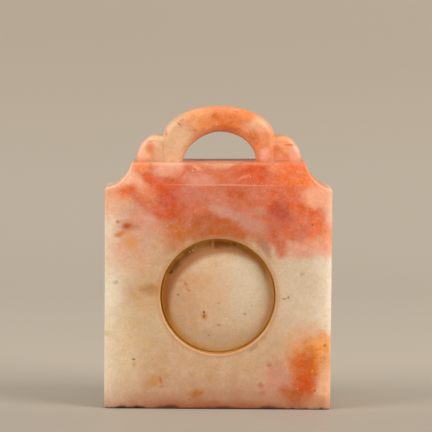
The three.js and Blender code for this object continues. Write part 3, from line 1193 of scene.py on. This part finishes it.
BLOCK_SPOTS = (
    Spot("brown_spot_halo", -14.2, 29.0, 1.1, 0.8, (208, 127, 78), 0.8, soft=0.9, deep=3.0),
    Spot("brown_spot", -14.4, 29.05, 0.55, 0.4, (182, 84, 26), 0.95, soft=0.8, deep=3.0),
    Stain("brown_spot_tail", -13.2, 28.9, 0.8, 0.25, (204, 126, 92), 0.8, tilt=8.0),
    Spot("small_brown_spot", -15.9, 29.7, 0.3, 0.28, (192, 122, 90), 0.8),
    Stain("amber_spot", -15.6, 27.7, 0.8, 0.45, (212, 126, 54), tilt=20.0),
    Stain("amber_cloud", -14.0, 26.7, 1.3, 1.2, (225, 150, 90), 0.8, soft=0.7),
    Stain("dark_fleck", -13.3, 7.85, 0.26, 0.15, (132, 74, 30), soft=0.5, deep=1.0),
    Spot("amber_under_fleck", -13.2, 7.0, 0.35, 0.35, (210, 148, 98), 0.8),
    Spot("orange_cloud_low", -10.2, 4.2, 1.2, 0.8, (197, 136, 68), 0.8, tilt=30.0, soft=0.9, deep=3.0),
    Spot("orange_fleck_low", -9.0, 4.5, 0.18, 0.45, (190, 104, 22), tilt=12.0, soft=0.8),
    Spot("orange_fleck_lower", -8.9, 3.5, 0.4, 0.12, (186, 98, 22), tilt=15.0, soft=0.8),
    Spot("orange_at_base", -3.4, 2.3, 1.0, 0.7, (192, 118, 42), tilt=20.0, soft=0.9, deep=3.0),
    Spot("orange_core_at_base", -3.6, 2.1, 0.28, 0.7, (178, 90, 6), 0.9, tilt=-25.0, soft=0.9),
    Spot("orange_core_by_base", -2.8, 2.4, 0.5, 0.2, (182, 94, 12), tilt=30.0, soft=0.9),
    Stain("brown_fleck_at_base", -4.4, 1.4, 0.22, 0.16, (126, 66, 36), soft=0.5, deep=1.0),
    Spot("orange_foot_middle", -0.2, 0.9, 0.8, 0.4, (168, 88, 46), 0.8),
    Spot("pink_fleck", 6.9, 3.8, 0.45, 0.5, (196, 116, 84), soft=0.5),
    Spot("pink_fleck_low", 7.1, 2.5, 0.5, 0.4, (190, 112, 84), 0.7),
    Spot("brown_fleck_right", 8.2, 7.0, 0.36, 0.28, (186, 122, 84)),
    Spot("red_fleck_right", 15.5, 5.6, 0.4, 0.3, (196, 100, 44), 0.8),
    Spot("brown_fleck_edge", 17.0, 10.2, 0.22, 0.2, (172, 104, 52), 0.8),
    Spot("dark_fleck_low_right", 15.5, 3.0, 0.2, 0.14, (150, 70, 26), 0.8, deep=1.0),
    Spot("grey_mark", 10.5, 17.6, 0.36, 0.13, (150, 126, 104), tilt=10.0, deep=1.0),
    Spot("grey_mark_right", 11.15, 17.85, 0.16, 0.2, (142, 116, 96), deep=1.0),
    Spot("grey_cloud", 13.3, 21.6, 0.34, 0.3, (188, 162, 138), 0.8),
    Spot("green_grey_spot", -16.1, 20.1, 0.4, 0.28, (190, 178, 140), 0.8),
    Spot("yellow_mark", -17.5, 11.9, 0.7, 0.4, (216, 193, 130), deep=3.0),
    Spot("grey_under_rim", 5.6, 9.7, 0.9, 0.35, (178, 138, 104), tilt=35.0),
    Spot("grey_under_rim_right", 7.2, 11.3, 0.7, 0.3, (184, 142, 106), 0.7, tilt=45.0),
    Spot("brown_fleck_left", -7.2, 36.3, 0.25, 0.22, (190, 86, 46), 0.8),
    Spot("brown_fleck_right_edge", 14.9, 29.4, 0.24, 0.2, (176, 86, 50)),
    Spot("red_wisp_left", -5.6, 37.4, 0.25, 0.9, (216, 110, 66), 0.8, tilt=-35.0, soft=0.7),
    Spot("red_wisp_middle", -1.6, 37.9, 1.3, 0.22, (216, 116, 70), 0.8, tilt=-20.0, soft=0.7),
    Spot("red_wisp_right", 2.4, 38.3, 1.3, 0.25, (214, 110, 64), tilt=25.0, soft=0.7),
    Spot("pale_wisp_left", -3.4, 38.3, 0.9, 0.25, (232, 162, 122), 0.8, tilt=-25.0, soft=0.7),
    Spot("pale_wisp_right", 4.0, 36.9, 1.2, 0.22, (230, 142, 102), 0.7, tilt=20.0, soft=0.7),
    Stain("orange_ear_dot", -10.7, 38.4, 0.35, 0.6, (220, 116, 56), soft=0.5, deep=3.0),
    # Pale worn line and painted highlight along the front crease.
    Spot("crease_wear_and_highlight", 0.6, 35.62, 8.0, 0.11, (236, 156, 124), 0.6, deep=1.2, ragged=0.5),
    # Painted shade along the foot, with some pink tone: the block darkens towards its print face.
    Stain("foot_pink_and_shade", 0.0, 0.0, 18.0, 2.2, (176, 116, 78), 0.75, soft=0.7, deep=40.0, ragged=0.6),
    Stain("foot_painted_shade", -0.4, -1.0, 17.0, 1.8, (147, 56, 4), 0.85, deep=40.0, ragged=0.6),
    # Painted contact shadow: a dark line where the foot meets the floor.
    Stain("foot_contact_shadow", 0.0, -0.2, 18.4, 0.3, (46, 13, 3), 0.92, soft=0.4, deep=40.0, ragged=0.45),
    Stain("foot_mark_far_left", -15.2, 0.05, 1.6, 0.3, (58, 20, 12), soft=0.5, deep=3.0, ragged=1.6),
    Stain("foot_mark_left", -12.4, 0.1, 0.9, 0.35, (70, 22, 12), soft=0.5, deep=3.0, ragged=1.6),
    Stain("foot_mark_by_left", -7.6, 0.15, 1.4, 0.4, (92, 34, 18), deep=3.0, ragged=1.6),
    Spot("foot_mark_middle", 1.2, 0.1, 1.8, 0.35, (104, 40, 22), deep=3.0, ragged=1.6),
    Spot("foot_mark_right", 8.0, 0.1, 1.6, 0.3, (92, 36, 20), deep=3.0, ragged=1.6),
    Spot("lip_middle", 0.0, 39.45, 7.5, 0.5, (172, 100, 60), y=-5.9, deep=1.2, ragged=0.4),
    Spot("lip_left", -10.4, 39.4, 3.6, 0.5, (204, 136, 100), 0.75, y=-5.9, deep=1.2, ragged=0.4),
    Spot("lip_right", 10.6, 39.5, 3.8, 0.5, (188, 94, 46), y=-5.9, deep=1.2, ragged=0.4),
    # Painted shade on the terrace top beneath the handle, seen through the opening.
    Stain("sill_painted_shade", 0.1, 39.1, 6.3, 0.6, (104, 56, 28), soft=0.9, y=5.8, deep=2.6, ragged=0.5),
    Spot("brown_arch_mark", -6.3, 45.1, 0.45, 0.12, (176, 112, 62), 0.8, tilt=-35.0, soft=0.8, y=-3.7),
    Spot("brown_arch_mark_high", -6.0, 45.7, 0.4, 0.1, (184, 120, 70), 0.75, tilt=20.0, soft=0.8, y=-3.7),
    Spot("brown_arch_mark_edge", -8.3, 43.6, 0.2, 0.35, (196, 126, 76), 0.7, soft=0.8, y=-3.7),
    Spot("brown_inner_mark", -3.8, 44.1, 0.3, 0.25, (206, 122, 64), soft=0.8, y=-3.7),
    Spot("brown_crown_mark", -0.7, 46.6, 0.45, 0.25, (206, 104, 44), tilt=35.0, soft=0.8, y=-3.7, deep=2.5),
    Spot("brown_crown_mark_right", 2.7, 47.1, 0.5, 0.14, (208, 112, 56), 0.8, tilt=-20.0, soft=0.8, y=-3.5,
         deep=2.5),
    Spot("orange_under_crown", 1.8, 44.5, 1.5, 0.35, (216, 106, 44), 0.8, tilt=-12.0, soft=0.8, y=-3.5,
         deep=3.0),
    Spot("left_scroll_mark", -10.8, 41.3, 0.45, 0.75, (222, 134, 80), soft=0.8, y=-3.4, deep=2.5),
    Spot("left_scroll_eye", -11.0, 42.3, 0.5, 0.14, (214, 138, 92), 0.7, tilt=15.0, soft=0.8, y=-3.4,
         deep=2.5),
    Spot("right_scroll_mark", 9.3, 41.2, 0.7, 0.5, (226, 118, 58), tilt=-30.0, soft=0.8, y=-3.4, deep=2.5),
    Spot("right_scroll_eye", 11.3, 41.9, 0.75, 0.16, (206, 98, 48), soft=0.8, y=-3.4, deep=2.5),
)

CHILD_STAINS = (
    Stain("grey_cream_right", 4.0, 19.2, 3.4, 4.6, (215, 190, 158), 0.95, soft=0.7, ragged=0.5),
    Stain("pink_tan_left", -5.4, 17.6, 2.6, 5.0, (205, 156, 113), 0.8, soft=0.8, ragged=0.5),
    Stain("amber_high_left", -3.0, 20.2, 2.4, 1.1, (213, 160, 114), 0.8, soft=0.7),
    Stain("peach_middle", -0.6, 18.4, 2.6, 3.2, (215, 170, 128), 0.6, soft=0.8),
    Stain("tan_low", 0.0, 11.4, 5.4, 1.6, (202, 164, 124), 0.6, soft=0.8),
)

CHILD_SPOTS = (
    # Painted shadow of the well's rim on the dome's upper edge, in ragged patches.
    Stain("rim_shadow_left", -7.0, 22.6, 1.3, 0.7, (132, 78, 14), tilt=50.0, soft=0.5, deep=5.0, ragged=2.2),
    Stain("rim_shadow_high_left", -4.6, 25.0, 1.6, 0.6, (138, 80, 12), tilt=35.0, soft=0.5, deep=5.0, ragged=2.2),
    Stain("rim_shadow_top", 0.4, 26.3, 2.2, 0.7, (150, 74, 8), soft=0.5, deep=5.0, ragged=2.0),
    Stain("rim_shadow_high_right", 4.6, 25.2, 2.0, 0.5, (164, 88, 22), 0.85, tilt=-35.0, deep=5.0, ragged=2.0),
    Stain("rim_shadow_right", 7.3, 22.2, 0.45, 1.6, (164, 104, 34), 0.75, tilt=20.0, soft=0.8, deep=5.0,
          ragged=1.5),
    Stain("pale_streak_top", -0.9, 26.2, 0.22, 0.6, (206, 150, 84), 0.8, soft=0.8, deep=5.0),
    # Painted glints: small pale sparkles in the shadowed gap at the upper left.
    Stain("painted_glint_high_left", -4.0, 25.2, 0.3, 0.2, (222, 176, 104), soft=0.7, deep=3.0, ragged=2.0),
    Stain("painted_glint_left", -4.5, 24.9, 0.14, 0.12, (232, 190, 120), soft=0.7, deep=3.0),
    Stain("painted_glint_by_left", -3.6, 25.5, 0.12, 0.16, (236, 200, 140), soft=0.7, deep=3.0),
    Stain("crumb_low_left", -5.6, 24.4, 0.18, 0.12, (190, 130, 60), soft=0.7, deep=3.0),
    # Darkest patches of the painted rim shadow on the dome.
    Stain("rim_shadow_dark_right", 2.6, 26.2, 0.4, 0.2, (78, 30, 4), tilt=-20.0, soft=0.7, deep=3.0),
    Spot("rim_shadow_dark_by_right", 3.6, 26.0, 0.3, 0.14, (92, 40, 8), tilt=-20.0, soft=0.7, deep=3.0),
    Spot("rim_shadow_dark_left", -7.4, 21.7, 0.4, 0.25, (82, 44, 6), tilt=50.0, soft=0.7, deep=3.0),
    Spot("orange_spot_left", -5.1, 19.8, 0.22, 0.45, (196, 120, 44), tilt=25.0, soft=0.9),
    Spot("orange_spot_low_left", -4.7, 18.9, 0.4, 0.2, (200, 128, 56), tilt=-30.0, soft=0.9),
    Spot("orange_spot_high_left", -5.9, 20.4, 0.3, 0.2, (196, 136, 90), 0.8, tilt=30.0, soft=0.9),
    Spot("brown_dot_left", -6.3, 18.1, 0.22, 0.15, (152, 100, 58), soft=0.5),
    Spot("orange_spot_middle", -2.1, 14.8, 0.4, 0.5, (202, 130, 46), tilt=20.0, soft=0.9),
    Spot("orange_core_middle", -2.2, 14.7, 0.16, 0.35, (184, 94, 4), 0.9, tilt=-20.0, soft=0.9),
    Spot("dark_dot_middle", -2.2, 15.4, 0.17, 0.16, (104, 56, 24), 0.95, soft=0.4),
    Spot("grey_dot_right", 4.3, 15.1, 0.26, 0.24, (170, 146, 108), soft=0.5),
    Spot("brown_dash", 0.2, 13.3, 0.36, 0.14, (182, 136, 96), 0.8, soft=0.5),
    Spot("brown_dot_high", 0.2, 16.9, 0.16, 0.14, (184, 140, 100), 0.8, soft=0.5),
    Spot("brown_dot_low", -1.4, 11.6, 0.16, 0.14, (168, 124, 86), 0.8, soft=0.5),
)

BLOCK_RINGS = (
    Ring("rim_tan", 0.0, 17.9, 10.1, 9.45, (185, 137, 90), 0.75, y=-9.0, deep=8.0),
    Ring("rim_rubbed", 0.0, 17.9, 9.42, 9.26, (198, 151, 102), 0.8, y=-9.0, deep=8.0),
    # Painted shade: the well's wall darkened to amber inside the narrow gap.
    Ring("well_wall_painted_shade", 0.0, 17.9, 9.26, 9.14, (176, 116, 46), 0.95, y=-6.2, deep=4.5),
)

CHILD_RINGS = (
    # Painted amber glow and shade on the dome's flank towards the gap.
    Ring("flank_amber_glow_and_shade", 0.5, 17.25, 7.3, 8.7, (212, 158, 66), 0.95, y=-8.0, deep=8.0),
    # Painted shadow of the well's upper rim on the dome, widest at the upper left.
    Ring("flank_painted_shadow_high_left", 1.2, 15.7, 8.45, 9.45, (164, 82, 0), 1.0, y=-8.0, deep=8.0),
)

BLOCK_FINISH = StoneFinish(
    "waxed_block_stone", (205, 162, 121), (212, 174, 136), BLOCK_STAINS, BLOCK_SPOTS, BLOCK_RINGS,
    # Painted glow in the well's wall, given off as light.
    Ring("light_in_wall", 0.0, 17.9, 9.3, 9.12, (98, 64, 18), 0.9, deep=2.5),
)
CHILD_FINISH = StoneFinish(
    "waxed_child_stone", (214, 177, 138), (217, 182, 146), CHILD_STAINS, CHILD_SPOTS, CHILD_RINGS,
    # Painted glow on the dome's flank, given off as light.
    Ring("light_in_flank", 0.0, 17.9, 8.1, 8.9, (101, 66, 12), 0.9, deep=4.0),
    glow=0.85, glow_depth=0.003,
)


@dataclass
class Studio:
    """A pale seamless sweep, two soft lamps and the camera."""

    eye: tuple[float, float, float] = (-0.000384, -0.405, 0.064229)
    pitch: float = 4.8
    roll: float = 0.38
    lens: float = 211.35
    backdrop_colour: Colour = (190, 178, 161)
    # Painted shade on the paper: a darker backdrop top and a darker floor in front.
    upper_backdrop_shade_colour: Colour = (180, 166, 148)
    front_floor_shade_colour: Colour = (170, 158, 143)
    lamp_size: float = 0.34
    lamp_power: float = 2.62
    lamp_place: tuple[float, float, float] = (0.5, -0.26, 0.36)
    world_colour: Colour = (236, 236, 236)
    world_strength: float = 0.7
    sweep_front: float = -0.7
    sweep_rear: float = 0.16
    sweep_half: float = 1.2
    sweep_top: float = 1.2
    bend_radius: float = 0.3
    bend_steps: int = 24
    floor_drop: float = 0.08 * MM

    def build(self) -> None:
        """Builds the sweep, the lamps, the world and the camera."""
        self.sweep()
        self.lamps()
        self.world()
        self.camera()

    def sweep(self) -> None:
        """Makes the floor that curves up into the backdrop, a hair below the seal's print face."""
        mesh = bpy.data.meshes.new("sweep")
        shape = bmesh.new()
        rear, radius, ground = self.sweep_rear, self.bend_radius, -self.floor_drop
        profile = [(self.sweep_front, ground), (rear, ground)]
        for step in range(1, self.bend_steps + 1):
            angle = step / self.bend_steps * math.pi / 2
            profile.append((rear + radius * math.sin(angle), ground + radius * (1 - math.cos(angle))))
        profile.append((rear + radius, self.sweep_top))
        rows = [[shape.verts.new((x, y, z)) for x in (-self.sweep_half, self.sweep_half)] for y, z in profile]
        for low, high in zip(rows, rows[1:]):
            shape.faces.new((low[0], low[1], high[1], high[0]))
        shape.to_mesh(mesh)
        shape.free()
        mesh.shade_smooth()
        sweep = bpy.data.objects.new("sweep", mesh)
        bpy.context.scene.collection.objects.link(sweep)
        mesh.materials.append(self.paper())

    def paper(self) -> bpy.types.Material:
        """Makes the paper's colour, with painted shade that darkens the floor in front of the seal and the
        top of the backdrop.

        Returns:
            The material.
        """
        material = bpy.data.materials.new("sweep_paper")
        material.use_nodes = True
        graph = Graph(material.node_tree)
        shader = material.node_tree.nodes["Principled BSDF"]
        place = graph.node("ShaderNodeTexCoord", {}).outputs["Object"]
        parts = graph.node("ShaderNodeSeparateXYZ", {0: place}).outputs
        # Painted shade: the floor is darker in front and the backdrop darker above.
        colour = graph.blend(graph.ease(parts["Y"], -0.02, 0.03), linear(self.front_floor_shade_colour),
                             linear(self.backdrop_colour))
        colour = graph.blend(graph.ease(parts["Z"], 0.0, 0.06), colour, linear(self.upper_backdrop_shade_colour))
        graph.tree.links.new(colour, shader.inputs["Base Color"])
        shader.inputs["Roughness"].default_value = 0.55
        shader.inputs["Specular IOR Level"].default_value = 0.35
        return material

    def lamps(self) -> None:
        """Hangs a soft lamp on each side, in front of the seal and above it."""
        for side, power in ((Side.LEFT, 0.85), (Side.RIGHT, 1.15)):
            name = side.name.lower() + "_lamp"
            data = bpy.data.lights.new(name, "AREA")
            data.shape = "SQUARE"
            data.size = self.lamp_size
            data.energy = self.lamp_power * power
            lamp = bpy.data.objects.new(name, data)
            out, front, up = self.lamp_place
            lamp.location = (out * side.value, front, up)
            aim = Vector((0, 0, 0.02)) - lamp.location
            lamp.rotation_euler = aim.to_track_quat("-Z", "Y").to_euler()
            bpy.context.scene.collection.objects.link(lamp)

    def world(self) -> None:
        """Fills the shadows with an even pale light."""
        world = bpy.data.worlds.new("studio_air")
        world.use_nodes = True
        sky = world.node_tree.nodes["Background"]
        sky.inputs["Color"].default_value = linear(self.world_colour)
        sky.inputs["Strength"].default_value = self.world_strength
        bpy.context.scene.world = world

    def camera(self) -> None:
        """Sets the camera at the photograph's viewing angle."""
        data = bpy.data.cameras.new("camera")
        data.sensor_width = 36.0
        data.lens = self.lens
        data.clip_start = 0.01
        camera = bpy.data.objects.new("camera", data)
        bpy.context.scene.collection.objects.link(camera)
        tilt = Matrix.Rotation(math.radians(90 - self.pitch), 4, "X")
        roll = Matrix.Rotation(math.radians(self.roll), 4, "Z")
        camera.matrix_world = Matrix.Translation(self.eye) @ tilt @ roll
        bpy.context.scene.camera = camera


def main() -> None:
    """Builds the studio and both stones, and dresses them."""
    logging.basicConfig(level=logging.INFO, format="%(name)s: %(message)s")
    bpy.context.scene.view_settings.view_transform = "Standard"
    Studio().build()
    effects = Effects()
    for stone, finish in ((SealBlock(), BLOCK_FINISH), (ChildSeal(), CHILD_FINISH)):
        piece = stone.build()
        piece.data.materials.append(StonePaint(finish, effects).paint())


if __name__ == "__main__":
    main()
